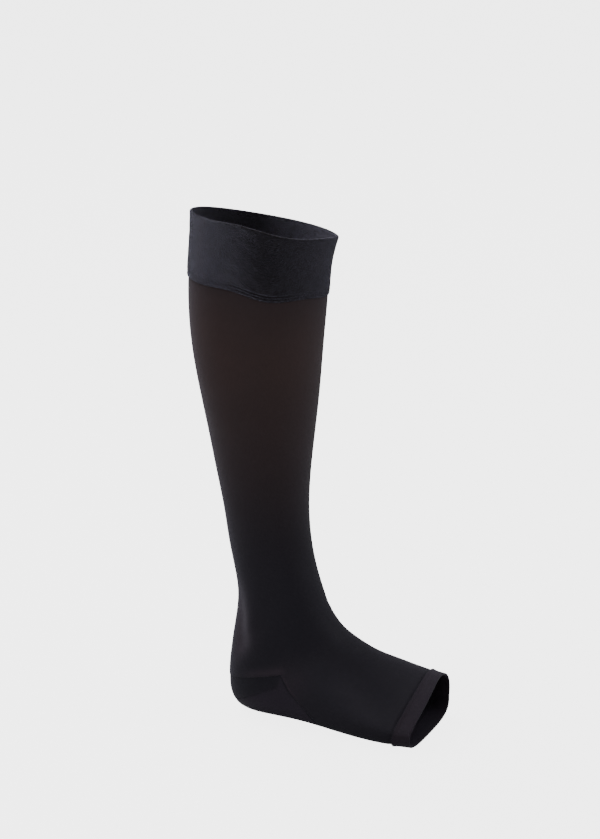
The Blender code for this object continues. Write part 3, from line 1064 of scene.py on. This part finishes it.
def bandStitchRows():
    starts, ends = [], []
    count = round(girthAt(stationOf["bandSeam"]) / bandSewing["pitch"])
    turn = 2 * math.pi / count
    for row, line in enumerate(kneeBand["stitchLines"]):
        for n in range(count):
            first = (n + 0.5 * row) * turn
            last = first + turn * bandSewing["length"] / bandSewing["pitch"]
            starts.append((float(bandSeamStation(first)) - line, first))
            ends.append((float(bandSeamStation(last)) - line, last))
    return starts, ends


def bandJoinStitches():
    starts, ends = [], []
    angle = math.radians(kneeBand["joinAngle"])
    half = bandSewing["joinLength"] / 2 / girthAt(bandSewing["joinMiddle"]) * 2 * math.pi
    low = float(bandSeamStation(angle)) - bandSewing["joinLow"]
    high = float(rimStation(angle)) + bandSewing["joinHigh"]
    for n in range(int((low - high) / bandSewing["joinPitch"])):
        station = low - n * bandSewing["joinPitch"]
        starts.append((station + bandSewing["joinSlant"], angle - half))
        ends.append((station - bandSewing["joinSlant"], angle + half))
    return starts, ends


def evenly(line, pitch):
    # even places along a line of (station, angle) points, by their distance on the surface
    line = np.array(line)
    points = surfacePoint(line[:, 0], line[:, 1]) / mm
    passed = np.concatenate([[0], np.cumsum(np.linalg.norm(np.diff(points, axis=0), axis=1))])
    places = np.arange(pitch, passed[-1] - pitch / 2, pitch)
    return np.stack([np.interp(places, passed, line[:, k]) for k in (0, 1)], -1)


def heelLines():
    # the pocket's lower seam and the line on which it turns, as lines of (station, angle)
    angles = np.linspace(innerApex, outerApex, linking["heelColumns"] + 1)[1:-1]
    spans = [pocketSpan(angle, 0.0) for angle in angles]
    lower = [(span[1], angle) for span, angle in zip(spans, angles)]
    gore = []
    for (enter, leave), angle in zip(spans, angles):
        stations = np.linspace(enter, leave, linking["heelSteps"])
        aside = goreDistance(plainPoint(stations, np.full(stations.shape, angle)))
        crossing = np.flatnonzero(aside[:-1] * aside[1:] <= 0)
        if len(crossing):
            gore.append((stations[crossing[0]], angle))
    return lower, gore


def linkingMarks(lines):
    starts, ends = [], []
    for line in lines:
        for station, angle in evenly(line, linking["pitch"]):
            starts.append((station - linking["length"] / 2, angle))
            ends.append((station + linking["length"] / 2, angle))
    return starts, ends


def toeLinkingLine():
    angles = np.linspace(0, 2 * math.pi, linking["toeColumns"] + 1)
    return [(float(toeSeamStation(angle)) - linking["beforeToeSeam"], angle) for angle in angles]


bandStitches = makeStitches(
    "bandStitches", *bandStitchRows(), kneeBand["proud"] - bandSewing["sunk"],
    bandSewing["radius"], thread
)
joinProud = kneeBand["proud"] + kneeBand["joinHeight"]
bandJoin = makeStitches(
    "bandJoin", *bandJoinStitches(), joinProud, bandSewing["joinRadius"], thread
)
heelMarks = makeStitches(
    "heelMarks", *linkingMarks(heelLines()), linking["heelProud"], linking["radius"], heelKnit
)
toeMarks = makeStitches(
    "toeLinking", *linkingMarks([toeLinkingLine()]), linking["toeProud"], linking["radius"],
    toeKnit
)
print("sewing made")


pieces = {
    kneePiece: ("top_band", "band_knit"),
    legFoot: ("leg_foot", "leg_knit"),
    heelPiece: ("heel", "heel_knit"),
    toePiece: ("toe_band", "toe_knit"),
}
for piece, (node, slot) in pieces.items():
    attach(piece, "root")
    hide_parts(node)
for piece, slot in (
    (bandStitches, "band_knit"), (bandJoin, "band_knit"),
    (heelMarks, "heel_knit"), (toeMarks, "toe_knit"),
):
    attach(piece, "root")


studio = {
    "look": (-3, 0, -159), "lookPixel": (262, 408),
    "azimuth": 22, "pitch": 18, "distance": 2600,
    "millimetresPerPixel": 0.83,
    "frame": (600, 839), "sensor": 36,
    "clip": (0.05, 200),  # metres
    "floorGap": 0.3, "floorSize": 60,  # the size in metres
    "floor": (0.45, 0.45, 0.455), "floorRoughness": 0.9,
    "white": (1.0, 1.0, 1.0), "worldStrength": 0.2,
    "backdrop": 4.0,  # how bright the floor and the world look to the camera itself
    # name, azimuth, elevation, distance, width and height in metres, power in watts
    "lights": (
        ("keyLeft", -76, 56, 2.2, 2.2, 1.4, 26),
        ("fillRight", 104, 26, 2.3, 1.6, 1.4, 14),
        ("rimLeft", -112, 60, 1.9, 0.8, 1.2, 15),
        ("rimRight", 166, 24, 1.9, 0.7, 1.8, 0.4),
        ("front", 6, 26, 2.6, 1.4, 1.4, 15),
        ("above", 20, 82, 2.4, 1.6, 1.6, 0.5),
    ),
}


def aimed(obj, place, target):
    obj.location = place
    obj.rotation_euler = (target - place).to_track_quat("-Z", "Y").to_euler()


def aroundStocking(azimuth, elevation, distance):
    a, e = math.radians(azimuth), math.radians(elevation)
    return Vector((math.sin(a) * math.cos(e), -math.cos(a) * math.cos(e), math.sin(e))) * distance


def makeFloor():
    half = studio["floorSize"] / 2
    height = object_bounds()[0][2] - studio["floorGap"] * mm
    corners = [(x * half, y * half, height) for x, y in ((-1, -1), (1, -1), (1, 1), (-1, 1))]
    data = bpy.data.meshes.new("floor")
    data.from_pydata(corners, [], [(0, 1, 2, 3)])
    # a white sweep: it glows evenly to the camera, and lights the cloth as a plain floor does
    material = bpy.data.materials.new("paleFloor")
    material.use_nodes = True
    tree = material.node_tree
    seen = tree.nodes.new("ShaderNodeLightPath").outputs["Is Camera Ray"]
    feedAll(tree, tree.nodes["Principled BSDF"], {
        "Base Color": studio["floor"], "Roughness": studio["floorRoughness"],
        "Emission Color": studio["white"],
        "Emission Strength": mathNode(tree, "MULTIPLY", seen, studio["backdrop"]),
    })
    data.materials.append(material)
    addObject("floor", data)


def makeWorld():
    world = bpy.data.worlds.new("studio")
    world.use_nodes = True
    tree = world.node_tree
    seen = tree.nodes.new("ShaderNodeLightPath").outputs["Is Camera Ray"]
    strengths = (studio["worldStrength"], studio["backdrop"])
    feedAll(tree, tree.nodes["Background"], {
        "Color": studio["white"], "Strength": rangeNode(tree, seen, (0.0, 1.0), strengths),
    })
    bpy.context.scene.world = world


def makeLights():
    centre = Vector(studio["look"]) * mm
    for name, azimuth, elevation, distance, width, height, power in studio["lights"]:
        data = bpy.data.lights.new(name, "AREA")
        data.shape = "RECTANGLE"
        data.size, data.size_y = width, height
        data.energy = power
        place = centre + aroundStocking(azimuth, elevation, distance)
        aimed(addObject(name, data), place, centre)


def makeCamera():
    width, height = studio["frame"]
    scale = studio["millimetresPerPixel"]
    away = aroundStocking(studio["azimuth"], studio["pitch"], 1.0)
    forward = -away
    right = forward.cross(Vector((0, 0, 1))).normalized()
    up = right.cross(forward)
    # the look point is seen at its own pixel, off the picture's centre
    aside = (studio["lookPixel"][0] - width / 2) * scale
    below = (studio["lookPixel"][1] - height / 2) * scale
    place = Vector(studio["look"]) - forward * studio["distance"] - right * aside + up * below
    data = bpy.data.cameras.new("camera")
    data.sensor_width = studio["sensor"]
    data.lens = studio["distance"] / scale / height * studio["sensor"]
    data.clip_start, data.clip_end = studio["clip"]
    camera = addObject("camera", data)
    aimed(camera, place * mm, (place + forward * studio["distance"]) * mm)
    bpy.context.scene.camera = camera


makeFloor()
makeWorld()
makeLights()
makeCamera()
print("studio made")
